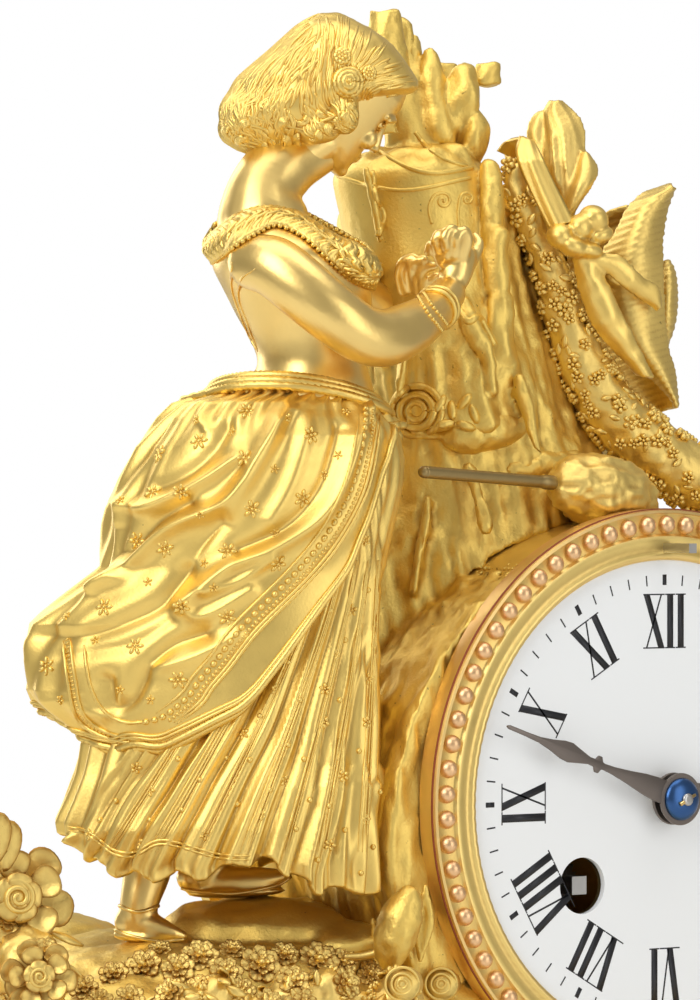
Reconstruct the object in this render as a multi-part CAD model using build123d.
"""Figural mantel clock: gilt castings, round movement in a drum, enamel dial.

Millimetres, +Z up, front faces -Y.
"""

import math
import os

from build123d import *

# Whole clock
clock_width = 350.0
clock_depth = 130.0
ground_height = 98.0
overrun = 4.0
running_gap = 0.05
free_gap = 0.3

# Base
foot_height = 16.0
foot_radius = 16.0
foot_rest_radius = 10.0
foot_waist_radius = 8.5
plinth_inset = 2.0
plinth_step_height = 6.0
plinth_step_inset = 7.0
plinth_height = 24.0
plinth_corner = 16.0
plinth_wall = 6.0
apron_width = 96.0
apron_thickness = 4.0

# Ground casting
mound_lower_width = 322.0
mound_lower_depth = 106.0
mound_upper_width = 226.0
mound_upper_depth = 58.0
mound_corner = 26.0
mound_wall = 5.0
bay_width = 52.0
bay_front = 8.0

# Drum and dial
dial_height = 125.0
dial_front = -42.0
dial_radius = 50.0
dial_thickness = 1.2
dial_plate_thickness = 1.0
dial_hole_radius = 2.6
drum_inner_radius = 53.0
drum_wall = 3.0
drum_front = -38.0
drum_back = 42.0
drum_slot_width = 20.0
drum_slot_front = 8.0
drum_slot_back = 24.0
bezel_radius = 57.8
bezel_opening_radius = 47.6
bezel_front = -44.4
bead_circle_radius = 54.7
bead_radius = 1.8
bead_count = 70
winding_hole_radius = 5.6
winding_across = 20.8
winding_drop = 16.7
regulator_rise = 50.0
regulator_hole_radius = 1.6

# Hands
minute_hand_length = 46.0
minute_hand_width = 4.4
minute_hand_front = -47.4
hour_hand_length = 32.0
hour_hand_width = 5.6
hour_hand_front = -45.1
hand_thickness = 0.7
hub_radius = 5.15
dome_radius = 4.2
dome_front = -50.0
minutes_shown = 48.3
hours_shown = 2.805

# Movement
plate_radius = 41.0
plate_thickness = 2.0
front_plate_front = -30.0
back_plate_front = 4.0
pillar_radius = 3.0
pillar_circle_radius = 37.0
dial_foot_radius = 1.5
dial_foot_circle_radius = 38.0
arbor_radius = 0.9
fine_arbor_radius = 0.6
escape_arbor_radius = 0.45
winding_arbor_radius = 2.0
winding_square = 3.6
winding_square_front = -41.0
barrel_radius = 16.0
barrel_wall = 1.0
barrel_length = 18.0
wheel_thickness = 1.0
great_wheel_thickness = 1.8
pinion_length = 3.4
ratchet_radius = 7.0
ratchet_teeth = 24
cannon_radius = 1.5
hour_pipe_radius = 2.3

# Tooth counts and modules
cannon_teeth, minute_wheel_teeth, motion_module = 12, 36, 0.5
minute_pinion_teeth, hour_wheel_teeth, hour_module = 10, 40, 0.48
barrel_teeth, barrel_pinion_teeth, barrel_module = 80, 12, 0.43
second_teeth, centre_pinion_teeth, second_module = 72, 8, 0.35
centre_teeth, third_pinion_teeth, centre_module = 84, 7, 0.3
third_teeth, escape_pinion_teeth, third_module = 75, 6, 0.26
escape_teeth, escape_radius = 36, 9.0
strike_second_module = 0.32
pin_teeth, fly_pinion_teeth, pin_module = 60, 6, 0.26
tooth_tip_share = 0.12
tooth_root_share = 0.24
addendum_share = 0.65
dedendum_share = 1.1

# Pendulum, suspension and bell
pendulum_rise = 38.0
pendulum_length = 110.0
pendulum_y = 16.0
pendulum_rod_radius = 0.8
bob_radius = 13.0
bob_thickness = 8.0
anchor_angles = (48, 60, 75, 90, 105, 120, 132)
crutch_length = 30.0
fork_half_width = 2.2
fork_height = 2.2
fork_reach = 2.0
fork_lap = 0.2
spring_half_thickness = 0.2
spring_half_width = 2.0
spring_rise = 7.0
spring_drop = 4.0
spring_block_height = 4.0
spring_block_half_width = 1.6
spring_block_half_depth = 2.4
cock_half_width = 9.0
cock_leg_width = 4.0
cock_low = 3.0
cock_high = 9.0
cock_leg_drop = 8.0
cock_lap = 4.0
cock_slot_half_width = 1.1
cock_slot_half_depth = 2.6
cock_slot_height = 7.6
cock_post_half_width = 3.0
regulator_square_length = 9.0
bell_radius = 27.0
bell_wall = 1.6
bell_across = 14.0
bell_drop = 7.0
bell_front = 24.0
bell_depth = 13.0
hammer_across = -27.0
hammer_rise = 22.0
hammer_head_radius = 3.0
hammer_head_length = 7.0
hammer_reach = 2.0
fly_half_width = 5.0
fly_front_gap = 6.0
count_hours = (1, 3, 6, 10, 15, 21, 28, 36, 45, 55, 66, 78)

# Rear bezel and door
rear_ring_thickness = 3.0
door_radius = 49.7
door_thickness = 1.2
knuckle_radius = 1.5
knuckle_pin_radius = 0.6
knuckle_length = 12.0
hinge_across = 53.5

# Figure, tree and trimmings
group_turn = -35.5
figure_height = 182.0
figure_along = -88.5
figure_depth = -28.0
tree_height = 186.0
pin_radius = 1.4
pin_length = 33.0
hat_height = 46.0
hat_wall = 1.4
sleeve_shift = 3.6
sleeve_radius = 60.5
sleeve_back = 20.0
garland_radius = 6.5
ribbon_width = 7.0
rose_radius = 13.0
blossom_radius = 6.0
log_radius = 4.6
log_length = 9.0
stud_radius = 1.6
leg_radius = 6.4
egg_sides = 12
egg_latitudes = (-72, -48, -16, 16, 48, 72)
skirt_pleats = 22
pleat_share = 0.02
snag_radius = 10.0
knot_radius = 4.0
knot_ring_radius = 1.6

# Trimmings on the drum and the tree: across, front and rise above the dial's centre
block_across = -7.0
block_front = -31.0
block_rise = 5.0
block_half_length = 13.5
block_half_width = 8.0
pin_across = -16.0
pin_front = -33.0
pin_rise = 6.0
bow_across = 5.0
bow_front = -18.0
bow_rise = 110.0
tail_length = 20.0
hat_along = -4.6
hat_depth = 32.0
hat_rise = 78.0
hat_arc_steps = 6
hat_crown_shift = 2.0
hat_crown_half_height = 4.0
hat_crown_radius = 9.6
leaf_across = 3.0
leaf_front = -4.0
leaf_rise = 129.0
leaf_half_length = 13.0
leaf_half_width = 6.5
garland_route = (
    (-15, -12.5, 253),
    (-9.5, -15, 234.6),
    (-2.5, -17, 214.6),
    (7.5, -20, 199.5),
    (24, -25, 187.5),
    (44, -28, 171),
    (59, -29, 149),
    (67, -31, 126),
    (70, -33, 103),
)
ribbon_route = ((-9, -8, 256), (-3, -12, 258), (2, -15, 247), (4, -17, 236))

# Flowers and logs on the ground casting
rose_across = 146.0
rose_front = -33.0
rose_height = 95.0
rose_step = 10.0
blossom_count = 8
blossom_across = -128.0
blossom_step = 8.2
blossom_front = -46.0
blossom_stagger = 1.5
blossom_height = 86.0
blossom_lift = 2.0
log_places = ((-58.0, 74.0), (-47.0, 66.0))
log_front = -40.0
log_lean = 3.0
log_rise = 1.0

DRUM_RADIUS = drum_inner_radius + drum_wall
AXIS = Vector(0, 0, dial_height)

nodes = {}


def keep(name, *solids):
    """Stores one node as one solid or a group of separate solids."""
    nodes[name] = solids[0] if len(solids) == 1 else Compound(children=list(solids))


def largest(shape):
    """The main solid of a cut shape."""
    return max(shape.solids(), key=lambda s: s.volume)


def apart(a, b):
    """Whether the boxes of two shapes don't meet."""
    box_a, box_b = a.bounding_box(), b.bounding_box()
    lows = zip(tuple(box_a.min), tuple(box_b.min))
    highs = zip(tuple(box_a.max), tuple(box_b.max))
    return any(max(low) > min(high) for low, high in zip(lows, highs))


def cut(shape, others):
    """The main solid of a shape after every other solid is taken from it."""
    shape = largest(shape)
    for other in others:
        if not apart(shape, other):
            shape = largest(shape - other)
    return shape


def along_y(sketch, front, back):
    """Extrudes a drawing made in X and Z from y = front to y = back."""
    return extrude(Plane(origin=(0, back, 0), x_dir=(1, 0, 0), z_dir=(0, -1, 0)) * sketch, back - front)


def rod(x, z, radius, front, back):
    """A round bar along Y at (x, z)."""
    return along_y(Pos(x, z) * Circle(radius), front, back)


def bar(x0, x1, y0, y1, z0, z1):
    """A box between two corners."""
    middle = ((x0 + x1) / 2, (y0 + y1) / 2, (z0 + z1) / 2)
    return Pos(*middle) * Box(abs(x1 - x0), abs(y1 - y0), abs(z1 - z0))


def toothed(x, z, teeth, module, turn, front, back):
    """A toothed wheel along Y with one tooth on the direction turn, in degrees from +X towards +Z."""
    pitch_radius = module * teeth / 2
    root = pitch_radius - dedendum_share * module
    tip = pitch_radius + addendum_share * module
    points = []
    for i in range(teeth):
        for share, radius in (
            (-tooth_root_share, root),
            (-tooth_tip_share, tip),
            (tooth_tip_share, tip),
            (tooth_root_share, root),
        ):
            angle = math.radians(turn + 360 * (i + share) / teeth)
            points.append((x + radius * math.cos(angle), z + radius * math.sin(angle)))
    return along_y(Polygon(*points, align=None), front, back)


def sharp_wheel(x, z, teeth, tip, root, front, back):
    """A ratchet or escape wheel with pointed teeth."""
    points = []
    for i in range(teeth):
        for share, radius in ((0, tip), (tooth_root_share, root)):
            angle = math.radians(360 * (i + share) / teeth)
            points.append((x + radius * math.cos(angle), z + radius * math.sin(angle)))
    return along_y(Polygon(*points, align=None), front, back)


def crossings(x, z, rim, hub, count, front, back):
    """The open sectors between the spokes of a wheel."""
    ring = Circle(rim) - Circle(hub)
    spokes = Sketch() + [Rot(0, 0, 360 * i / count) * Rectangle(rim * 2, hub / 2) for i in range(count)]
    return along_y(Pos(x, z) * (ring - spokes), front, back)


def direction(a, b):
    """The direction from place a to place b, in degrees."""
    return math.degrees(math.atan2(b[1] - a[1], b[0] - a[0]))


def meet(a, reach_a, b, reach_b, side):
    """The place at reach_a from a and reach_b from b, on one side of the line between them."""
    gap = math.dist(a, b)
    along = (gap**2 + reach_a**2 - reach_b**2) / (2 * gap)
    across = math.sqrt(reach_a**2 - along**2) * side
    ux, uz = (b[0] - a[0]) / gap, (b[1] - a[1]) / gap
    return (a[0] + ux * along - uz * across, a[1] + uz * along + ux * across)


def span(teeth_a, teeth_b, module):
    """Distance between the axes of two wheels in mesh."""
    return module * (teeth_a + teeth_b) / 2


def group_point(along, depth, height):
    """A place on the slanted line of figure and tree: along it, behind it, and up."""
    turn = math.radians(group_turn)
    x = along * math.cos(turn) - depth * math.sin(turn)
    y = dial_front + along * math.sin(turn) + depth * math.cos(turn)
    return Vector(x, y, height)


GROUP_X = Vector(math.cos(math.radians(group_turn)), math.sin(math.radians(group_turn)), 0)


def figure_point(along_share, depth_share, height_share):
    """A place on the figure in shares of its height."""
    size = figure_height
    return group_point(
        figure_along + along_share * size,
        figure_depth + depth_share * size,
        ground_height + height_share * size,
    )


def oval_loft(place, x_dir, size, shares, ruled=False):
    """A loft through level ovals: height, along, depth, half length and half depth in shares of size."""
    faces = []
    for height_share, along_share, depth_share, half_share, half_depth_share in shares:
        plane = Plane(origin=place(along_share, depth_share, height_share), x_dir=x_dir, z_dir=(0, 0, 1))
        faces.append((plane * Ellipse(half_share * size, half_depth_share * size)).face())
    return loft(faces, ruled=ruled)


def pleated_loft(place, x_dir, size, shares, pleats, pleat_share):
    """A ruled loft through level pleated outlines."""
    faces = []
    for height_share, along_share, depth_share, half_share, half_depth_share in shares:
        plane = Plane(origin=place(along_share, depth_share, height_share), x_dir=x_dir, z_dir=(0, 0, 1))
        points = []
        for i in range(pleats * 2):
            angle = math.pi * i / pleats
            swell = 1 + (pleat_share if i % 2 else -pleat_share)
            points.append((half_share * swell * math.cos(angle), half_depth_share * swell * math.sin(angle)))
        outline = Polygon(*[(size * x, size * y) for x, y in points], align=None)
        faces.append((plane * outline).face())
    return loft(faces, ruled=True)


def limb(points, radii):
    """A round limb through points, each with its own radius."""
    faces = []
    for i, (point, radius) in enumerate(zip(points, radii)):
        before, after = points[max(i - 1, 0)], points[min(i + 1, len(points) - 1)]
        heading = (Vector(*after) - Vector(*before)).normalized()
        side = heading.cross(Vector(0, 0, 1))
        side = side if side.length > tooth_tip_share else Vector(1, 0, 0)
        faces.append((Plane(origin=tuple(point), x_dir=side, z_dir=heading) * Circle(radius)).face())
    return loft(faces)


def skin(rings):
    """A closed solid of flat facets through rings of equally many points."""
    faces = [
        Face(Wire.make_polygon(rings[0][::-1], close=True)), Face(Wire.make_polygon(rings[-1], close=True))
    ]
    for lower, upper in zip(rings, rings[1:]):
        count = len(lower)
        for i in range(count):
            j = (i + 1) % count
            faces.append(Face(Wire.make_polygon([lower[i], lower[j], upper[j]], close=True)))
            faces.append(Face(Wire.make_polygon([lower[i], upper[j], upper[i]], close=True)))
    return Solid(Shell(faces))


def ring_points(centre, heading, radius, sides):
    """Points of one ring square to a heading."""
    heading = Vector(*heading).normalized()
    side = heading.cross(Vector(0, 0, 1))
    side = side if side.length > tooth_tip_share else Vector(1, 0, 0)
    side = side.normalized()
    across = heading.cross(side)
    turns = [2 * math.pi * i / sides for i in range(sides)]
    return [Vector(*centre) + side * (radius * math.cos(t)) + across * (radius * math.sin(t)) for t in turns]


def egg(centre, heading, half_length, half_width):
    """A faceted spheroid whose long axis points along heading."""
    centre, heading = Vector(*centre), Vector(*heading).normalized()
    rings = []
    for latitude in egg_latitudes:
        angle = math.radians(latitude)
        place = centre + heading * (half_length * math.sin(angle) / math.sin(math.radians(egg_latitudes[-1])))
        rings.append(ring_points(place, heading, half_width * math.cos(angle), egg_sides))
    return skin(rings)


def branch(points, radii):
    """A faceted limb through points, each with its own radius."""
    rings = []
    for i, (point, radius) in enumerate(zip(points, radii)):
        before, after = points[max(i - 1, 0)], points[min(i + 1, len(points) - 1)]
        rings.append(ring_points(point, after - before, radius, egg_sides))
    return skin(rings)


def fused(solids):
    """One solid from overlapping ones."""
    body = solids[0]
    for other in solids[1:]:
        body = body + other
    return body


# Places of the arbors, from the dial centre
CENTRE = (0.0, 0.0)
GOING = (winding_across, -winding_drop)
STRIKE = (-winding_across, -winding_drop)
GREAT_SPAN = span(barrel_teeth, barrel_pinion_teeth, barrel_module)
SECOND = meet(CENTRE, span(second_teeth, centre_pinion_teeth, second_module), GOING, GREAT_SPAN, 1)
ESCAPE = (0.0, pendulum_rise - escape_radius - dome_radius - bead_radius - fine_arbor_radius)
THIRD = meet(
    CENTRE,
    span(centre_teeth, third_pinion_teeth, centre_module),
    ESCAPE,
    span(third_teeth, escape_pinion_teeth, third_module),
    -1,
)
STRIKE_SECOND = (-SECOND[0], SECOND[1])
PIN_SPAN = span(second_teeth, centre_pinion_teeth, strike_second_module)
PIN = (STRIKE_SECOND[0] - PIN_SPAN * 0.25, STRIKE_SECOND[1] + PIN_SPAN * math.sqrt(1 - 0.25**2))
FLY_SPAN = span(pin_teeth, fly_pinion_teeth, pin_module)
FLY = (PIN[0] + FLY_SPAN * 0.5, PIN[1] + FLY_SPAN * math.sqrt(1 - 0.5**2))
MINUTE = (0.0, span(cannon_teeth, minute_wheel_teeth, motion_module))
SUSPENSION = (0.0, pendulum_rise)
HAMMER = (hammer_across, hammer_rise)


def up(place):
    """A place given from the dial centre, as X and Z of the clock."""
    return place[0], place[1] + dial_height


def make_base():
    step = RectangleRounded(clock_width - 2 * plinth_inset, clock_depth - 2 * plinth_inset, plinth_corner)
    block = RectangleRounded(
        clock_width - 2 * (plinth_inset + plinth_step_inset),
        clock_depth - 2 * (plinth_inset + plinth_step_inset),
        plinth_corner - plinth_inset,
    )
    top = foot_height + plinth_height
    body = Pos(0, 0, foot_height) * extrude(step, plinth_step_height)
    body = chamfer(body.faces().sort_by(Axis.Z)[-1].edges(), plinth_inset)
    body = body + Pos(0, 0, foot_height + plinth_step_height) * extrude(
        block, plinth_height - plinth_step_height
    )
    body = chamfer(body.faces().sort_by(Axis.Z)[-1].edges(), plinth_inset)
    inside = RectangleRounded(
        clock_width - 2 * (plinth_inset + plinth_step_inset + plinth_wall),
        clock_depth - 2 * (plinth_inset + plinth_step_inset + plinth_wall),
        plinth_corner - plinth_inset - plinth_wall,
    )
    body = body - Pos(0, 0, foot_height) * extrude(inside, plinth_height - plinth_wall)
    keep("base_plinth", body)

    profile = Polyline(
        (0, 0),
        (foot_rest_radius, 0),
        (foot_rest_radius, foot_height * 0.12),
        (foot_waist_radius, foot_height * 0.2),
        (foot_radius, foot_height * 0.5),
        (foot_radius, foot_height * 0.66),
        (foot_waist_radius, foot_height * 0.86),
        (foot_rest_radius, foot_height * 0.92),
        (foot_rest_radius, foot_height),
        (0, foot_height),
        close=True,
    )
    foot = revolve(Plane.XZ * make_face(profile), Axis.Z)
    reach_x = clock_width / 2 - foot_radius
    reach_y = clock_depth / 2 - foot_radius
    keep("base_feet", *[Pos(sx * reach_x, sy * reach_y, 0) * foot for sx in (-1, 1) for sy in (-1, 1)])

    face_y = -clock_depth / 2 + plinth_inset + plinth_step_inset
    low = foot_height + plinth_step_height
    tall = plinth_height - plinth_step_height - plinth_inset
    half_shares = (
        (0.0, 0.0), (0.5, 0.0), (0.43, 0.22), (0.3, 0.42), (0.2, 0.4), (0.12, 0.62), (0.05, 0.95), (0, 1)
    )
    right = [(apron_width * x, low + tall * z) for x, z in half_shares[1:]]
    left = [(-x, z) for x, z in reversed(right[:-1])]
    shell = along_y(Polygon(*right, *left, align=None), face_y - apron_thickness, face_y)
    keep("apron_mount", shell)


def mound_loft(inset):
    """The ground casting's outer form, or its inner form at a wall's inset."""
    base_z = foot_height + plinth_height
    rise = ground_height - base_z
    shares = ((0, 0), (0.45, 0.18), (0.8, 0.55), (1, 1))
    faces = []
    for height_share, narrow_share in shares:
        width = mound_lower_width + (mound_upper_width - mound_lower_width) * narrow_share - 2 * inset
        depth = mound_lower_depth + (mound_upper_depth - mound_lower_depth) * narrow_share - 2 * inset
        plane = Plane(origin=(0, 0, base_z + (rise - inset) * height_share))
        faces.append((plane * RectangleRounded(width, depth, mound_corner - inset)).face())
    return loft(faces)


def drum_bed():
    """The room that the drum and its bezel take."""
    seat = rod(0, dial_height, DRUM_RADIUS, drum_front, clock_depth)
    front = rod(0, dial_height, bezel_radius, -clock_depth, drum_front)
    rear = rod(0, dial_height, bezel_radius, drum_back, clock_depth)
    return fused([seat, front, rear])


def figure_limb(shares):
    """A limb of the figure: each row is a place and a radius, in shares of its height."""
    points = [figure_point(*row[:3]) for row in shares]
    return branch(points, [row[3] * figure_height for row in shares])


def figure_egg(shares, heading):
    """A spheroid of the figure: a place, a half length and a half width, in shares of its height."""
    return egg(figure_point(*shares[:3]), heading, shares[3] * figure_height, shares[4] * figure_height)


def make_figure(mound):
    # Skirts share one flaring form, parted by a slanted plane
    under_shares = (
        (0.062, 0.0, 0.0, 0.168, 0.124),
        (0.15, 0.0, 0.0, 0.164, 0.122),
        (0.325, 0.034, 0.004, 0.13, 0.106),
        (0.465, 0.061, 0.008, 0.119, 0.096),
        (0.54, 0.0725, 0.01, 0.1, 0.082),
        (0.585, 0.088, 0.012, 0.078, 0.064),
    )
    over_shares = (
        (0.212, 0.021, 0.0, 0.16, 0.125),
        (0.24, 0.003, 0.0, 0.179, 0.137),
        (0.273, -0.013, 0.0, 0.196, 0.14),
        (0.328, -0.013, 0.0, 0.196, 0.14),
        (0.369, 0.007, 0.0, 0.177, 0.137),
        (0.397, 0.023, 0.0, 0.163, 0.13),
        (0.433, 0.034, 0.0, 0.1545, 0.124),
        (0.467, 0.0375, 0.0, 0.156, 0.125),
        (0.5, 0.047, 0.0, 0.152, 0.122),
        (0.533, 0.0546, 0.0, 0.143, 0.114),
        (0.564, 0.0595, 0.0, 0.122, 0.098),
        (0.58, 0.064, 0.0, 0.108, 0.087),
        (0.5957, 0.077, 0.0, 0.09, 0.072),
    )
    under_all = pleated_loft(figure_point, GROUP_X, figure_height, under_shares, skirt_pleats, pleat_share)
    over_all = oval_loft(figure_point, GROUP_X, figure_height, over_shares, ruled=True)
    border = figure_point(0.151, 0.0, 0.544)
    foot = figure_point(-0.062, 0.0, 0.243)
    slope = (border - foot).normalized()
    across = Vector(-GROUP_X.Y, GROUP_X.X, 0)
    cutter_plane = Plane(origin=tuple(border), x_dir=slope, z_dir=tuple(across.cross(slope).normalized()))
    reach = figure_height * 2
    upper = cutter_plane * (Pos(0, 0, reach / 2) * Box(reach, reach, reach))
    if upper.center().Z < border.Z:
        upper = cutter_plane * (Pos(0, 0, -reach / 2) * Box(reach, reach, reach))
    overskirt = largest(over_all & upper)
    hem_height = figure_point(0, 0, 0.212).Z
    above_hem = bar(-clock_width, clock_width, -clock_width, clock_width, hem_height, clock_width)
    underskirt = largest(under_all - (upper & above_hem))
    keep("overskirt", overskirt)
    keep("underskirt", underskirt)

    # Bodice, arms, neck and head
    torso_shares = (
        (0.6, 0.092, 0.012, 0.072, 0.058),
        (0.65, 0.08, 0.012, 0.066, 0.054),
        (0.7, 0.07, 0.014, 0.074, 0.062),
        (0.745, 0.062, 0.016, 0.08, 0.074),
        (0.785, 0.052, 0.018, 0.072, 0.07),
        (0.812, 0.048, 0.02, 0.044, 0.044),
    )
    torso = oval_loft(figure_point, GROUP_X, figure_height, torso_shares)
    skirt_top = figure_point(0, 0, 0.6).Z
    torso = torso - bar(-clock_width, 0, -clock_width, clock_width, 0, skirt_top)
    right_arm_shares = (
        (0.045, -0.062, 0.765, 0.03),
        (0.1, -0.066, 0.7, 0.033),
        (0.172, -0.03, 0.615, 0.029),
        (0.205, 0.02, 0.64, 0.026),
        (0.24, 0.1, 0.7, 0.021),
        (0.268, 0.175, 0.745, 0.022),
    )
    left_arm_shares = (
        (0.07, 0.075, 0.76, 0.03),
        (0.11, 0.14, 0.69, 0.03),
        (0.15, 0.19, 0.65, 0.026),
        (0.185, 0.19, 0.675, 0.02),
        (0.215, 0.18, 0.715, 0.02),
    )
    neck_shares = ((0.048, 0.022, 0.8, 0.031), (0.062, 0.026, 0.84, 0.028), (0.092, 0.034, 0.875, 0.03))
    right_arm = figure_limb(right_arm_shares)
    left_arm = largest(figure_limb(left_arm_shares) - right_arm)
    neck = figure_limb(neck_shares)
    skull = figure_egg((0.112, 0.045, 0.905, 0.068, 0.05), GROUP_X * 0.42 + Vector(0, 0, -1))
    head = cut(neck + skull, [torso])
    crown = figure_egg((0.095, 0.043, 0.93, 0.078, 0.066), GROUP_X + Vector(0, 0, 0.12))
    bun = figure_egg((0.035, 0.03, 0.893, 0.056, 0.044), GROUP_X * 0.5 + Vector(0, 0, 1))
    hair = cut(crown + bun, [head, torso])
    collar_shares = (
        (0.75, 0.062, 0.012, 0.096, 0.09),
        (0.765, 0.062, 0.012, 0.106, 0.098),
        (0.785, 0.062, 0.012, 0.1, 0.092),
    )
    collar_whole = oval_loft(figure_point, GROUP_X, figure_height, collar_shares)
    collar = cut(collar_whole, [torso, right_arm, left_arm])
    keep("figure_torso", torso)
    keep("figure_right_arm", cut(right_arm, [torso, overskirt, underskirt]))
    keep("figure_left_arm", cut(left_arm, [torso, overskirt, underskirt]))
    keep("figure_head", head)
    keep("figure_hair", hair)
    keep("bertha_collar", cut(collar, [hair, head]))

    # Legs stand on the ground casting, held by studs through its wall
    hem = figure_point(0, 0, 0.062).Z
    legs, studs, stud_holes = [], [], []
    for along_share, depth_share, toe_share in ((-0.09, -0.03, 0.06), (0.02, 0.03, 0.075)):
        ankle = figure_point(along_share, depth_share, 0.03)
        knee = Vector(ankle.X, ankle.Y, hem)
        sole = Vector(ankle.X, ankle.Y, ground_height)
        toe = figure_point(along_share + toe_share, depth_share - 0.02, 0.022)
        leg_places = [knee, ankle, sole - Vector(0, 0, mound_wall)]
        leg = branch(leg_places, [leg_radius, leg_radius * 0.62, leg_radius * 0.75])
        shoe = egg((ankle + toe) / 2, toe - ankle, toe_share * figure_height, leg_radius)
        body = largest(leg + shoe - mound - bar(-clock_width, 0, -clock_width, clock_width, hem, clock_width))
        stud = Pos(ankle.X, ankle.Y, ground_height - 3 * mound_wall) * extrude(
            Circle(stud_radius), 3 * mound_wall + stud_radius
        )
        nut = Pos(ankle.X, ankle.Y, ground_height - 3 * mound_wall + stud_radius) * extrude(
            RegularPolygon(stud_radius * 2, 6), stud_radius * 2
        )
        legs.append(largest(body - stud))
        studs.append(stud + nut)
        stud_holes.append(stud)
    keep("figure_feet", *legs)
    solids = [nodes[n] for n in ("overskirt", "underskirt", "figure_torso", "figure_right_arm")]
    return solids + [nodes["figure_left_arm"], nodes["figure_hair"]], studs, stud_holes


def tree_point(along_share, depth_share, height_share):
    """A place on the tree in shares of its height."""
    return Vector(
        along_share * tree_height, depth_share * tree_height, ground_height + height_share * tree_height
    )


def make_tree(mound, figure_solids, bed):
    trunk_shares = (
        (-0.03, 0.0, -0.01, 0.322, 0.17),
        (0.145, 0.0, -0.012, 0.318, 0.165),
        (0.31, -0.012, -0.008, 0.3, 0.15),
        (0.44, -0.054, 0.0, 0.22, 0.135),
        (0.55, -0.092, 0.01, 0.145, 0.118),
        (0.69, -0.118, 0.022, 0.11, 0.105),
        (0.83, -0.132, 0.027, 0.1, 0.097),
        (0.92, -0.138, 0.028, 0.093, 0.09),
    )
    trunk = oval_loft(tree_point, (1, 0, 0), tree_height, trunk_shares)
    sleeve = rod(
        -sleeve_shift, dial_height - 2 * sleeve_shift, sleeve_radius, drum_front + free_gap, sleeve_back
    )
    trunk = fused([trunk, sleeve])
    trunk = cut(trunk, [mound, bed, *figure_solids])

    # Snags: places in shares of the tree's height, each with its radius in shares of the snags' radius
    snag_shares = (
        ((-0.2, 0.0, 0.86, 0.7), (-0.205, 0.0, 0.93, 0.46), (-0.207, 0.0, 0.998, 0.32)),
        ((-0.165, 0.01, 0.88, 0.52), (-0.16, 0.012, 0.975, 0.14)),
        ((-0.12, 0.02, 0.86, 0.66), (-0.115, 0.022, 0.945, 0.34)),
        ((-0.085, -0.01, 0.84, 0.56), (-0.078, -0.014, 0.945, 0.26)),
        ((-0.15, 0.06, 0.86, 0.7), (-0.15, 0.062, 0.94, 0.3)),
        ((-0.03, -0.04, 0.62, 0.34), (-0.04, -0.038, 0.72, 0.42), (-0.05, -0.034, 0.84, 0.3)),
        ((-0.008, -0.008, 0.6, 0.36), (-0.02, -0.006, 0.74, 0.44), (-0.035, 0.0, 0.86, 0.3)),
    )
    cut_snags = []
    for shares in snag_shares:
        snag = branch([tree_point(*row[:3]) for row in shares], [row[3] * snag_radius for row in shares])
        cut_snags.append(cut(snag, [trunk, *cut_snags]))

    ring_plane = Plane(origin=tuple(tree_point(-0.2, -0.075, 0.557)), z_dir=(-0.6, -0.8, 0))
    ring = ring_plane * Torus(knot_radius, knot_ring_radius)
    lump = egg(tree_point(-0.15, -0.1, 0.54), (1, -0.3, 0.2), 0.9 * snag_radius, 0.5 * snag_radius)
    bump = egg(tree_point(-0.075, -0.105, 0.5), (1, 0, 0.1), 1.2 * snag_radius, 0.45 * snag_radius)
    root = egg(tree_point(-0.352, -0.222, 0.02), (0.2, -0.2, 1), 0.85 * snag_radius, 0.44 * snag_radius)
    knots = []
    for solid in (ring, lump, bump, root):
        knots.append(cut(solid, [trunk, mound, bed, *knots, *figure_solids]))
    keep("trunk_carvings", *cut_snags, *knots)
    keep("tree_trunk", trunk)
    return trunk


def flower_head(place, radius):
    """One flower of a cluster, leaning to the front."""
    return egg(place, (0, -0.5, 1), radius, radius * 0.86)


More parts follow.
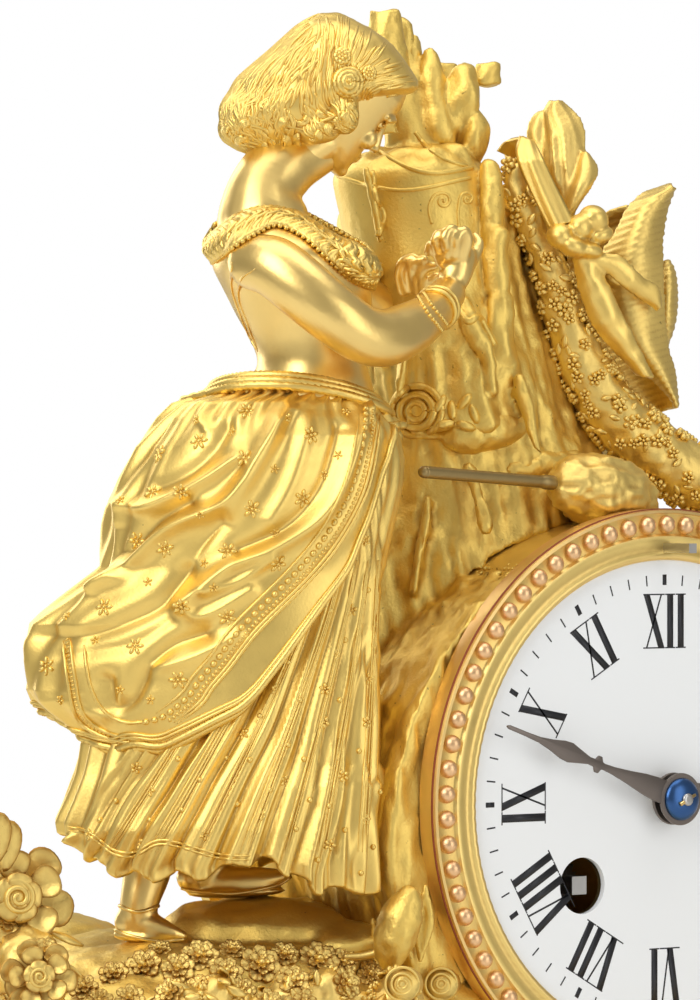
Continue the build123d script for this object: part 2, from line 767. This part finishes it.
def make_trimmings(mound, trunk, bed):
    drum_top = dial_height + DRUM_RADIUS
    block_place = Vector(block_across, block_front, drum_top + block_rise)
    block = egg(block_place, (1, 0.1, -0.2), block_half_length, block_half_width)
    block = cut(block, [bed, trunk, *nodes["trunk_carvings"].solids()])
    start = Vector(pin_across, pin_front, drum_top + pin_rise)
    tip = start + Vector(-pin_length, -pin_radius, pin_radius * 1.5)
    support = branch([start, (start + tip) / 2, tip], [pin_radius] * 3)
    collar = branch([start + (tip - start) * 0.16, start + (tip - start) * 0.2], [pin_radius * 1.5] * 2)
    support = cut(support + collar, [block, trunk])
    keep("rock_block", block)
    keep("support_pin", support)

    # Garland runs from the trunk over the drum and down its right side
    radius_shares = (0.36, 0.55, 0.75, 0.95, 1.0, 1.0, 1.0, 0.95, 0.9)
    garland = limb([Vector(*place) for place in garland_route], [garland_radius * s for s in radius_shares])
    garland = cut(garland, [trunk, bed, block, mound])
    keep("garland", garland)

    # Ribbon: a band over the trunk's side, a knot and two tails
    band = branch([Vector(*place) for place in ribbon_route], [ribbon_width / 2] * len(ribbon_route))
    band = cut(band, [trunk, garland, *nodes["trunk_carvings"].solids()])
    bow_place = Vector(bow_across, bow_front, dial_height + bow_rise)
    knot = egg(bow_place, (0.4, -0.2, 0.4), ribbon_width, ribbon_width * 0.7)
    knot = cut(knot, [band, garland])
    tail_shares = ((0.45, -0.15, -1.2), (0.85, -0.1, -1.0))
    tails = []
    for across_share, front_share, drop_share in tail_shares:
        foot = bow_place + Vector(across_share, front_share, drop_share) * tail_length
        head = bow_place + Vector(across_share * 0.4, front_share * 0.6, drop_share * 0.2) * tail_length
        tail = branch([head, foot], [ribbon_width * 0.35, ribbon_width * 0.5])
        tails.append(tail)
    bow = fused([knot, *tails])
    bow = cut(bow, [band, garland])
    keep("ribbon_band", band)

    # Straw hat hangs by the ribbon: a bent brim round a hollow open to the left, its crown to the right.
    # Shares of the hat's height: height, near edge, fold and far edge along, and half depth.
    hat_shares = (
        (0.0, 0.054, 0.087, -0.076, 0.065),
        (0.045, 0.033, 0.093, -0.109, 0.13),
        (0.13, -0.065, 0.087, -0.196, 0.24),
        (0.26, -0.17, 0.065, -0.304, 0.326),
        (0.48, -0.26, 0.039, -0.37, 0.348),
        (0.7, -0.283, 0.033, -0.326, 0.304),
        (0.81, -0.196, 0.048, -0.26, 0.24),
        (0.91, -0.12, 0.07, -0.185, 0.152),
        (1.0, 0.017, 0.087, 0.0, 0.05),
    )
    hat_foot = group_point(hat_along, hat_depth, dial_height + hat_rise)
    depth_way = Vector(-GROUP_X.Y, GROUP_X.X, 0)
    rings = []
    for height_share, near_share, fold_share, far_share, depth_share in hat_shares:
        level = hat_foot + Vector(0, 0, height_share * hat_height)
        ring = []
        for inset in (0, hat_wall):
            arc = []
            for i in range(-hat_arc_steps, hat_arc_steps + 1):
                turn = math.radians(90 * i / hat_arc_steps)
                edge = (near_share if i < 0 else far_share) * hat_height
                out = (fold_share * hat_height - inset - edge) * math.cos(turn)
                deep = (depth_share * hat_height - inset) * math.sin(turn)
                arc.append(level + GROUP_X * (edge + out) + depth_way * deep)
            ring.extend(reversed(arc) if inset else arc)
        rings.append(ring)
    crown_place = hat_foot + GROUP_X * hat_crown_shift + Vector(0, 0, hat_height * 0.48)
    crown = egg(crown_place, GROUP_X, hat_crown_half_height, hat_crown_radius)
    hat = cut(fused([skin(rings), crown]), [bow, band, garland, trunk])
    keep("straw_hat", hat)
    keep("ribbon_bow", bow)

    leaf_place = Vector(leaf_across, leaf_front, dial_height + leaf_rise)
    leaf = egg(leaf_place, (0.45, 0.1, 1), leaf_half_length, leaf_half_width)
    leaf = cut(leaf, [trunk, band, hat, bow, garland, *nodes["trunk_carvings"].solids()])
    keep("leaf_spray", leaf)

    # Flower clusters on the ground casting: outward, back and up in steps, and radius in shares
    cluster_shares = (
        (0.0, 0.0, 0.0, 1.0),
        (1.2, 0.3, -1.3, 1.0),
        (0.4, 0.6, 1.7, 0.75),
        (1.6, 0.9, 0.5, 0.8),
        (-0.8, -0.3, -1.5, 0.8),
    )
    for name, side in (("left_flowers", -1), ("right_flowers", 1)):
        heads = []
        for outward, back, rise, radius_share in cluster_shares:
            place = Vector(
                side * (rose_across + outward * rose_step),
                rose_front + back * rose_step,
                rose_height + rise * rose_step,
            )
            heads.append(flower_head(place, rose_radius * radius_share))
        keep(name, cut(fused(heads), [mound]))

    heads = []
    for i in range(blossom_count):
        place = Vector(
            blossom_across + blossom_step * i,
            blossom_front - blossom_stagger * (i % 2),
            blossom_height + blossom_lift * ((i * 7) % 3),
        )
        heads.append(flower_head(place, blossom_radius * (1 + 0.12 * ((i * 5) % 3))))
    front = cut(fused(heads), [mound, bed])
    logs = []
    for x, z in log_places:
        end = Vector(x - log_lean, log_front - log_length * 1.6, z + log_rise)
        log = branch([Vector(x, log_front, z), end], [log_radius, log_radius])
        logs.append(cut(log, [mound, bed, front, *logs]))
    keep("front_flowers", front, *logs)


def make_drum_and_dial():
    drum = rod(0, dial_height, DRUM_RADIUS, drum_front, drum_back)
    drum = drum - rod(0, dial_height, drum_inner_radius, drum_front, drum_back)
    low = dial_height - DRUM_RADIUS - overrun
    drum = drum - bar(
        -drum_slot_width / 2,
        drum_slot_width / 2,
        drum_slot_front,
        drum_slot_back,
        low,
        dial_height - dial_radius,
    )
    keep("drum_housing", drum)

    channel = bead_radius * 0.45
    profile = Polyline(
        (bezel_opening_radius, dial_front),
        (bezel_opening_radius, dial_front - channel / 2),
        (bead_circle_radius - bead_radius - channel / 4, bezel_front + channel / 4),
        (bead_circle_radius - bead_radius, bezel_front + channel),
        (bead_circle_radius + bead_radius, bezel_front + channel),
        (bead_circle_radius + bead_radius + channel / 4, bezel_front),
        (bezel_radius, bezel_front),
        (bezel_radius, drum_front),
        (dial_radius, drum_front),
        (dial_radius, dial_front),
        close=True,
    )
    ring = revolve(Plane.XY * make_face(profile), Axis.Y)
    bead = Pos(0, bezel_front + channel, bead_circle_radius) * (
        Sphere(bead_radius) - Pos(0, bead_radius, 0) * Box(*[2 * bead_radius] * 3)
    )
    ring = ring + [Rot(0, 360 * (i + 0.5) / bead_count, 0) * bead for i in range(bead_count)]
    bezel = Pos(*AXIS) * ring
    regulator_hole = rod(
        0, dial_height + regulator_rise, regulator_hole_radius, -clock_depth, drum_front + overrun
    )
    keep("bezel", bezel - regulator_hole)

    plate_front = dial_front + dial_thickness
    plate_back = plate_front + dial_plate_thickness
    dial = rod(0, dial_height, dial_radius, dial_front, plate_front)
    plate = rod(0, dial_height, dial_radius - free_gap, plate_front, plate_back)
    holes = rod(0, dial_height, dial_hole_radius, dial_front - overrun, plate_back + overrun)
    for x in (-winding_across, winding_across):
        holes = holes + rod(
            x, dial_height - winding_drop, winding_hole_radius, dial_front - overrun, plate_back + overrun
        )
    keep("enamel_dial", dial - holes - regulator_hole)
    for i in range(4):
        angle = math.radians(45 + 90 * i)
        plate = plate + rod(
            dial_foot_circle_radius * math.cos(angle),
            dial_height + dial_foot_circle_radius * math.sin(angle),
            dial_foot_radius,
            plate_back,
            front_plate_front,
        )
    keep("dial_plate", plate - holes - regulator_hole)


def hand_shape(length, width, turn):
    """A tapered hand with a cross bar and a lozenge, pointing turn degrees clockwise from twelve."""
    shares = (
        (0.12, 0.03),
        (0.16, 0.46),
        (0.24, 0.46),
        (0.14, 0.49),
        (0.14, 0.52),
        (0.5, 0.65),
        (0.2, 0.8),
        (0.07, 1),
    )
    right = [(width * x, length * z) for x, z in shares]
    left = [(-x, z) for x, z in reversed(right)]
    outline = Polygon(*right, *left, align=None)
    return Rot(0, 0, -turn) * outline


def make_hands():
    front, back = minute_hand_front, minute_hand_front + hand_thickness
    minute_turn = 360 * minutes_shown / 60
    hour_turn = 360 * hours_shown / 12
    minute = hand_shape(minute_hand_length, minute_hand_width, minute_turn) + Circle(hub_radius * 0.72)
    keep("minute_hand", Pos(*AXIS) * (along_y(minute, front, back) - rod(0, 0, cannon_radius, front, back)))
    hour_back = hour_hand_front + hand_thickness
    hour = hand_shape(hour_hand_length, hour_hand_width, hour_turn) + Circle(hub_radius)
    hour = along_y(hour, hour_hand_front, hour_back) - rod(0, 0, hour_pipe_radius, hour_hand_front, hour_back)
    keep("hour_hand", Pos(*AXIS) * hour)
    dome = Sphere(dome_radius) - bar(-overrun * 2, overrun * 2, 0, overrun * 2, -overrun * 2, overrun * 2)
    height = front - dome_front
    dome = scale(dome, by=(1, height / dome_radius, 1))
    pin = rod(0, 0, arbor_radius * 0.8, -height - arbor_radius, -height / 2)
    dome = Pos(0, front, dial_height) * (dome + pin)
    keep("hand_collet", dome)

    # Motion work behind the dial
    cannon_turn = direction(CENTRE, MINUTE)
    x, z = up(CENTRE)
    pinion_front, pinion_back = front_plate_front - pinion_length, front_plate_front - free_gap
    pipe = rod(x, z, cannon_radius, front, pinion_back)
    leaves = toothed(x, z, cannon_teeth, motion_module, cannon_turn, pinion_front, pinion_back)
    bore = rod(x, z, arbor_radius + running_gap, front - overrun, pinion_back + overrun)
    keep("cannon_pinion", pipe + leaves - bore)
    mx, mz = up(MINUTE)
    wheel_back = pinion_back - free_gap
    wheel_front = wheel_back - wheel_thickness
    half = 180 / minute_wheel_teeth
    wheel = toothed(
        mx, mz, minute_wheel_teeth, motion_module, cannon_turn + 180 + half, wheel_front, wheel_back
    )
    hour_wheel_back = pinion_front - wheel_thickness
    hour_wheel_front = hour_wheel_back - wheel_thickness
    small = toothed(
        mx, mz, minute_pinion_teeth, hour_module, cannon_turn + 180, hour_wheel_front - free_gap, wheel_front
    )
    stud_bore = rod(mx, mz, fine_arbor_radius + running_gap, -clock_depth, 0)
    keep("minute_wheel", wheel + small - stud_bore)
    hour_wheel = toothed(
        x,
        z,
        hour_wheel_teeth,
        hour_module,
        cannon_turn + 180 / hour_wheel_teeth,
        hour_wheel_front,
        hour_wheel_back,
    )
    hour_wheel = hour_wheel + rod(x, z, hour_pipe_radius, hour_hand_front, hour_wheel_back)
    hour_bore = rod(
        x, z, cannon_radius + 2 * running_gap, hour_hand_front - overrun, hour_wheel_back + overrun
    )
    keep("hour_wheel", hour_wheel - hour_bore)
    return rod(mx, mz, fine_arbor_radius, hour_wheel_front - 2 * free_gap, front_plate_front)


def plate_holes(front, back):
    """Pivot holes of one movement plate."""
    sizes = (
        (CENTRE, arbor_radius),
        (GOING, winding_arbor_radius),
        (STRIKE, winding_arbor_radius),
        (SECOND, arbor_radius),
        (STRIKE_SECOND, arbor_radius),
        (THIRD, fine_arbor_radius),
        (ESCAPE, escape_arbor_radius),
        (PIN, fine_arbor_radius),
        (FLY, escape_arbor_radius),
        (SUSPENSION, fine_arbor_radius),
        (HAMMER, fine_arbor_radius),
    )
    return [rod(*up(place), radius + running_gap, front - overrun, back + overrun) for place, radius in sizes]


def make_plates(minute_stud):
    front, back = front_plate_front, front_plate_front + plate_thickness
    plate = rod(0, dial_height, plate_radius, front, back)
    tongue_top = dial_height + regulator_rise + regulator_hole_radius
    plate = plate + bar(-pillar_radius, pillar_radius, front, back, dial_height + pendulum_rise, tongue_top)
    for hole in plate_holes(front, back):
        plate = plate - hole
    regulator_bore = rod(
        0, dial_height + regulator_rise, arbor_radius + running_gap, front - overrun, back + overrun
    )
    keep("front_plate", plate - regulator_bore + minute_stud)

    rear_front, rear_back = back_plate_front, back_plate_front + plate_thickness
    plate = rod(0, dial_height, plate_radius, rear_front, rear_back)
    for hole in plate_holes(rear_front, rear_back):
        plate = plate - hole
    keep("back_plate", plate)
    pillars = []
    for angle in (0, 52, 128, 180, 270):
        turn = math.radians(angle)
        x, z = pillar_circle_radius * math.cos(turn), dial_height + pillar_circle_radius * math.sin(turn)
        pillars.append(rod(x, z, pillar_radius, back, rear_front))
    keep("plate_pillars", *pillars)

    # Bell stand on the rear plate, straps between the two bezels
    bell_z = dial_height - bell_drop
    stand_back = bell_front + bell_depth
    stand = rod(bell_across, bell_z, arbor_radius * 1.6, rear_back, stand_back + overrun / 2)
    foot = rod(bell_across, bell_z, pillar_radius, rear_back, rear_back + plate_thickness)
    profile = [
        (bell_radius, 0),
        (bell_radius - bell_wall, 0),
        (bell_radius * 0.86 - bell_wall, bell_depth * 0.5),
        (bell_radius * 0.5, bell_depth - bell_wall),
        (0, bell_depth - bell_wall),
        (0, bell_depth),
        (bell_radius * 0.5 + bell_wall / 2, bell_depth),
        (bell_radius * 0.86, bell_depth * 0.5 + bell_wall / 2),
    ]
    bell = revolve(Plane.XY * Polygon(*profile, align=None), Axis.Y)
    bell = Pos(bell_across, bell_front, bell_z) * bell
    bell = bell - stand
    nut = rod(bell_across, bell_z, pillar_radius, stand_back, stand_back + plate_thickness)
    keep("bell", bell, stand + foot + nut)
    straps = []
    for angle in (35, 215):
        strap = Pos(drum_inner_radius - 2 * wheel_thickness, 0, 0) * Box(
            wheel_thickness, drum_back - drum_front, pillar_radius * 2
        )
        strap = Pos(0, (drum_back + drum_front) / 2, dial_height) * (Rot(0, -angle, 0) * strap)
        straps.append(strap)
    keep("case_straps", *straps)


def arbor(place, radius, front=front_plate_front, back=back_plate_front + plate_thickness):
    """A plain arbor that reaches through both plates."""
    x, z = up(place)
    return rod(x, z, radius, front - free_gap, back + free_gap)


def make_winding(name, place):
    x, z = up(place)
    back = back_plate_front + plate_thickness + plate_thickness
    shaft = rod(x, z, winding_arbor_radius, front_plate_front - plate_thickness, back)
    square_end = along_y(
        Pos(x, z) * Rectangle(winding_square, winding_square),
        winding_square_front,
        front_plate_front - free_gap,
    )
    ratchet_back = front_plate_front - free_gap
    ratchet_front = ratchet_back - wheel_thickness
    ratchet_root = ratchet_radius - wheel_thickness
    ratchet = sharp_wheel(x, z, ratchet_teeth, ratchet_radius, ratchet_root, ratchet_front, ratchet_back)
    keep(name, shaft + square_end + ratchet)


def make_barrel(name, place, pinion_place):
    x, z = up(place)
    back = front_plate_front + plate_thickness + plate_thickness + barrel_length
    front = back - barrel_length
    drum = rod(x, z, barrel_radius, front, back)
    hollow = rod(x, z, barrel_radius - barrel_wall, front + barrel_wall, back - barrel_wall)
    wheel = toothed(
        x, z, barrel_teeth, barrel_module, direction(place, pinion_place), back, back + great_wheel_thickness
    )
    bore = rod(x, z, winding_arbor_radius + running_gap, front - overrun, back + overrun)
    spring = rod(
        x, z, barrel_radius - barrel_wall - running_gap, front + barrel_wall * 1.2, back - barrel_wall * 1.2
    )
    spring = spring - rod(x, z, barrel_radius * 0.6, front, back)
    keep(name, drum - hollow + wheel - bore, spring)
    return back


def make_trains():
    rear = back_plate_front
    great_front = make_barrel("going_barrel", GOING, SECOND)
    make_barrel("strike_barrel", STRIKE, STRIKE_SECOND)
    make_winding("going_winding_arbor", GOING)
    make_winding("strike_winding_arbor", STRIKE)
    great_back = great_front + great_wheel_thickness

    # Intermediate arbor of the going side
    x, z = up(SECOND)
    half = 180 / barrel_pinion_teeth
    turn = direction(SECOND, GOING) + half
    pinion = toothed(
        x,
        z,
        barrel_pinion_teeth,
        barrel_module,
        turn,
        great_front - wheel_thickness,
        great_back + wheel_thickness,
    )
    wheel_front = rear - 7.6 * wheel_thickness
    wheel = toothed(
        x,
        z,
        second_teeth,
        second_module,
        direction(SECOND, CENTRE),
        wheel_front,
        wheel_front + wheel_thickness,
    )
    wheel = wheel - crossings(
        x, z, barrel_radius * 0.66, pillar_radius, 5, wheel_front, wheel_front + wheel_thickness
    )
    keep("intermediate_wheel", arbor(SECOND, arbor_radius) + pinion + wheel)

    # Centre arbor carries the hands' friction seat
    x, z = up(CENTRE)
    turn = direction(CENTRE, SECOND) + 180 / centre_pinion_teeth
    pinion = toothed(
        x,
        z,
        centre_pinion_teeth,
        second_module,
        turn,
        wheel_front - wheel_thickness,
        wheel_front + 2 * wheel_thickness,
    )
    centre_front = rear - 4.8 * wheel_thickness
    wheel = toothed(
        x,
        z,
        centre_teeth,
        centre_module,
        direction(CENTRE, THIRD),
        centre_front,
        centre_front + wheel_thickness,
    )
    wheel = wheel - crossings(
        x, z, barrel_radius * 0.66, pillar_radius, 5, centre_front, centre_front + wheel_thickness
    )
    shaft = rod(
        x, z, arbor_radius, minute_hand_front + free_gap, back_plate_front + plate_thickness + free_gap
    )
    keep("centre_wheel", shaft + pinion + wheel)

    # Third arbor
    x, z = up(THIRD)
    turn = direction(THIRD, CENTRE) + 180 / third_pinion_teeth
    pinion = toothed(
        x,
        z,
        third_pinion_teeth,
        centre_module,
        turn,
        centre_front - wheel_thickness,
        centre_front + 2 * wheel_thickness,
    )
    third_front = rear - 16 * wheel_thickness
    wheel = toothed(
        x, z, third_teeth, third_module, direction(THIRD, ESCAPE), third_front, third_front + wheel_thickness
    )
    wheel = wheel - crossings(
        x, z, escape_radius * 0.86, pillar_radius * 0.8, 4, third_front, third_front + wheel_thickness
    )
    keep("third_wheel", arbor(THIRD, fine_arbor_radius) + pinion + wheel)

    # Escape arbor
    x, z = up(ESCAPE)
    turn = direction(ESCAPE, THIRD) + 180 / escape_pinion_teeth
    pinion = toothed(
        x,
        z,
        escape_pinion_teeth,
        third_module,
        turn,
        third_front - wheel_thickness,
        third_front + 2 * wheel_thickness,
    )
    escape_front = rear - 7 * wheel_thickness
    wheel = sharp_wheel(
        x, z, escape_teeth, escape_radius, escape_radius * 0.85, escape_front, escape_front + wheel_thickness
    )
    wheel = wheel - crossings(
        x, z, escape_radius * 0.72, pillar_radius * 0.6, 4, escape_front, escape_front + wheel_thickness
    )
    keep("escape_wheel", arbor(ESCAPE, escape_arbor_radius) + pinion + wheel)

    # Striking side: count wheel arbor, pin wheel and fly
    x, z = up(STRIKE_SECOND)
    turn = direction(STRIKE_SECOND, STRIKE) + half
    pinion = toothed(
        x,
        z,
        barrel_pinion_teeth,
        barrel_module,
        turn,
        great_front - wheel_thickness,
        great_back + wheel_thickness,
    )
    strike_front = wheel_front
    turn = direction(STRIKE_SECOND, PIN)
    wheel = toothed(
        x, z, second_teeth, strike_second_module, turn, strike_front, strike_front + wheel_thickness
    )
    wheel = wheel - crossings(
        x, z, escape_radius, pillar_radius, 5, strike_front, strike_front + wheel_thickness
    )
    count_front = back_plate_front + plate_thickness + wheel_thickness
    count_radius = barrel_radius * 0.8
    count = rod(x, z, count_radius, count_front, count_front + wheel_thickness)
    for step in count_hours:
        notch = Pos(count_radius, 0) * Rectangle(wheel_thickness * 2, wheel_thickness * 0.6)
        notch = Pos(x, z) * (Rot(0, 0, 360 * step / count_hours[-1]) * notch)
        count = count - along_y(notch, count_front, count_front + wheel_thickness)
    shaft = arbor(STRIKE_SECOND, arbor_radius, back=count_front + wheel_thickness)
    keep("count_wheel", shaft + pinion + wheel + count)

    x, z = up(PIN)
    turn = direction(PIN, STRIKE_SECOND) + 180 / centre_pinion_teeth
    pinion = toothed(
        x,
        z,
        centre_pinion_teeth,
        strike_second_module,
        turn,
        strike_front - wheel_thickness,
        strike_front + 2 * wheel_thickness,
    )
    pin_front = rear - 10 * wheel_thickness
    wheel = toothed(x, z, pin_teeth, pin_module, direction(PIN, FLY), pin_front, pin_front + wheel_thickness)
    pin_circle = escape_radius * 0.7
    for i in range(8):
        angle = math.radians(45 * i)
        wheel = wheel + rod(
            x + pin_circle * math.cos(angle),
            z + pin_circle * math.sin(angle),
            escape_arbor_radius,
            pin_front - 2 * wheel_thickness,
            pin_front,
        )
    keep("pin_wheel", arbor(PIN, fine_arbor_radius) + pinion + wheel)

    x, z = up(FLY)
    turn = direction(FLY, PIN) + 180 / fly_pinion_teeth
    pinion = toothed(
        x, z, fly_pinion_teeth, pin_module, turn, pin_front - wheel_thickness, pin_front + 2 * wheel_thickness
    )
    vane_front, vane_back = front_plate_front + fly_front_gap, pin_front - 3 * wheel_thickness
    vane = bar(x - fly_half_width, x + fly_half_width, vane_front, vane_back, z - free_gap, z + free_gap)
    keep("fly", arbor(FLY, escape_arbor_radius) + pinion + vane)


def make_pendulum():
    x, z = up(SUSPENSION)
    ex, ez = up(ESCAPE)
    front = back_plate_front - 7 * wheel_thickness
    reach = escape_radius + bead_radius * 0.62
    inner, outer = [], []
    for angle in anchor_angles:
        turn = math.radians(angle)
        inner.append((reach * math.cos(turn), ez + reach * math.sin(turn)))
        outer.append(((reach + overrun / 2) * math.cos(turn), ez + (reach + overrun / 2) * math.sin(turn)))
    bow = along_y(Polygon(*outer, *reversed(inner), align=None), front, front + wheel_thickness)
    past_axis = z + fine_arbor_radius / 2
    stem_low = ez + reach + wheel_thickness
    stem = bar(-wheel_thickness, wheel_thickness, front, front + wheel_thickness, stem_low, past_axis)
    crutch_y = back_plate_front + plate_thickness + 3 * wheel_thickness
    shaft = rod(x, z, fine_arbor_radius, front_plate_front - free_gap, crutch_y + wheel_thickness)
    boss = rod(x, z, fine_arbor_radius * 2, front, front + wheel_thickness)
    anchor = bow + stem + shaft + boss

    low = z - crutch_length
    boss = rod(x, z, wheel_thickness * 1.6, crutch_y, crutch_y + wheel_thickness)
    drop = bar(-wheel_thickness, wheel_thickness, crutch_y, crutch_y + wheel_thickness, low, past_axis)
    fork_back, fork_top = pendulum_y + fork_reach, low + fork_lap
    fork = bar(
        -fork_half_width, fork_half_width, crutch_y - fork_lap, fork_back, fork_top - fork_height, fork_top
    )
    slot = bar(
        -pendulum_rod_radius,
        pendulum_rod_radius,
        pendulum_y - pendulum_rod_radius,
        pendulum_y + overrun,
        low - overrun,
        low + overrun,
    )
    keep("pallet_anchor", fused([anchor, boss, drop, fork - slot]))

    bob_z = z - pendulum_length
    block_top = z - spring_drop
    block_low = block_top - spring_block_height
    strip = bar(
        -spring_half_thickness,
        spring_half_thickness,
        pendulum_y - spring_half_width,
        pendulum_y + spring_half_width,
        block_top,
        z + spring_rise,
    )
    block = bar(
        -spring_block_half_width,
        spring_block_half_width,
        pendulum_y - spring_block_half_depth,
        pendulum_y + spring_block_half_depth,
        block_low,
        block_top,
    )
    stem = Pos(0, pendulum_y, bob_z) * extrude(Circle(pendulum_rod_radius), block_low - bob_z)
    keep("pendulum_rod", strip, block + stem)
    profile = Polyline(
        (0, -bob_thickness / 2),
        (bob_radius * 0.7, -bob_thickness / 2 + wheel_thickness),
        (bob_radius, -wheel_thickness / 2),
        (bob_radius, wheel_thickness / 2),
        (bob_radius * 0.7, bob_thickness / 2 - wheel_thickness),
        (0, bob_thickness / 2),
        close=True,
    )
    bob = revolve(Plane.XY * make_face(profile), Axis.Y)
    keep("pendulum_bob", Pos(0, pendulum_y, bob_z) * bob - stem)

    back = back_plate_front + plate_thickness
    cock_top = z + cock_high
    cock = bar(-cock_half_width, cock_half_width, back, pendulum_y + cock_lap, z + cock_low, cock_top)
    leg_inner = cock_half_width - cock_leg_width
    for side in (-1, 1):
        cock = cock + bar(
            side * leg_inner,
            side * cock_half_width,
            back,
            back + plate_thickness,
            z - cock_leg_drop,
            z + cock_low,
        )
    cock = cock - bar(
        -cock_slot_half_width,
        cock_slot_half_width,
        pendulum_y - cock_slot_half_depth,
        pendulum_y + cock_slot_half_depth,
        z,
        z + cock_slot_height,
    )
    regulator_z = dial_height + regulator_rise
    post = bar(
        -cock_post_half_width,
        cock_post_half_width,
        back + plate_thickness,
        pendulum_y - plate_thickness,
        cock_top,
        regulator_z + regulator_hole_radius,
    )
    cock = cock + post - rod(0, regulator_z, arbor_radius + running_gap, back, pendulum_y)
    keep("suspension_cock", cock)
    end = regulator_hole_radius * 0.6
    regulator = rod(0, regulator_z, arbor_radius, drum_front, pendulum_y - wheel_thickness)
    square_front = dial_front - regulator_square_length
    square_end = along_y(Pos(0, regulator_z) * Rectangle(2 * end, 2 * end), square_front, drum_front)
    keep("regulator_arbor", regulator + square_end)


def make_hammer():
    x, z = up(HAMMER)
    back = back_plate_front + plate_thickness
    arm_y = back + 3 * wheel_thickness
    shaft = rod(x, z, fine_arbor_radius, front_plate_front - free_gap, arm_y + wheel_thickness)
    head_x = bell_across - bell_radius - bead_radius * 2.6
    head_z = dial_height - bell_drop
    slope = math.degrees(math.atan2(head_z - z, head_x - x))
    length = math.dist((head_x, head_z), (x, z))
    arm = Pos((x + head_x) / 2, (z + head_z) / 2) * (
        Rot(0, 0, slope) * Rectangle(length, wheel_thickness * 1.6)
    )
    arm = along_y(arm, arm_y, arm_y + wheel_thickness)
    head_y = bell_front + hammer_reach
    reach = rod(head_x, head_z, wheel_thickness, arm_y, head_y)
    head = Pos(head_x, head_y, head_z) * (Rot(0, 90, 0) * Cylinder(hammer_head_radius, hammer_head_length))
    keep("hammer", shaft + arm + reach + head)


def make_rear():
    back = drum_back + rear_ring_thickness
    ring = rod(0, dial_height, bezel_radius, drum_back, back)
    ring = ring - rod(0, dial_height, door_radius - overrun / 2, drum_back, back)
    pin_y = back + knuckle_radius
    third = knuckle_length / 3
    pin_axis = Pos(hinge_across, pin_y, dial_height)
    barrels = []
    for side in (-1, 1):
        barrels.append(
            pin_axis * (Pos(0, 0, side * third) * Cylinder(knuckle_radius, third - 2 * running_gap))
        )
    pin = pin_axis * Cylinder(knuckle_pin_radius, knuckle_length)
    for side in (-1, 1):
        low = dial_height + side * third - third / 2 + running_gap
        high = dial_height + side * third + third / 2 - running_gap
        lug = bar(
            hinge_across - knuckle_radius,
            hinge_across + knuckle_radius,
            back - running_gap,
            pin_y,
            low,
            high,
        )
        ring = ring + lug
    ring = fused([ring, *barrels, pin])
    keep("rear_bezel", ring)
    front = back + free_gap
    door = rod(0, dial_height, door_radius, front, front + door_thickness)
    rim = rod(0, dial_height, door_radius, front, front + 2 * door_thickness)
    rim = rim - rod(0, dial_height, door_radius - 3 * door_thickness, front, front + 2 * door_thickness)
    knob = rod(-door_radius * 0.86, dial_height, door_thickness * 2, front, front + 4 * door_thickness)
    low, high = dial_height - third / 2 + running_gap, dial_height + third / 2 - running_gap
    tab = bar(door_radius - 2 * door_thickness, hinge_across, front, front + door_thickness, low, high)
    barrel = pin_axis * Cylinder(knuckle_radius, third - 2 * running_gap)
    bore = pin_axis * Cylinder(knuckle_pin_radius + running_gap, knuckle_length)
    door = fused([door, rim, knob, tab, barrel]) - bore
    keep("rear_door", door)


def main():
    bed = drum_bed()
    outer = largest(mound_loft(0) - bed)
    hollow = mound_loft(mound_wall)
    make_base()
    make_drum_and_dial()
    figure_solids, studs, stud_holes = make_figure(outer)
    trunk = make_tree(outer, figure_solids, bed)
    make_trimmings(outer, trunk, bed)
    bay = bar(
        -bay_width / 2,
        bay_width / 2,
        bay_front,
        clock_depth,
        foot_height + plinth_height,
        dial_height - dial_radius,
    )
    shell = outer - hollow - bay
    for hole in stud_holes:
        shell = shell - hole
    keep("ground_mound", largest(shell))
    keep("figure_studs", *studs)
    make_plates(make_hands())
    make_trains()
    make_pendulum()
    make_hammer()
    make_rear()
    os.makedirs("parts", exist_ok=True)
    for name, shape in nodes.items():
        export_step(shape, f"parts/{name}.step")
    print(len(nodes), "nodes")


main()
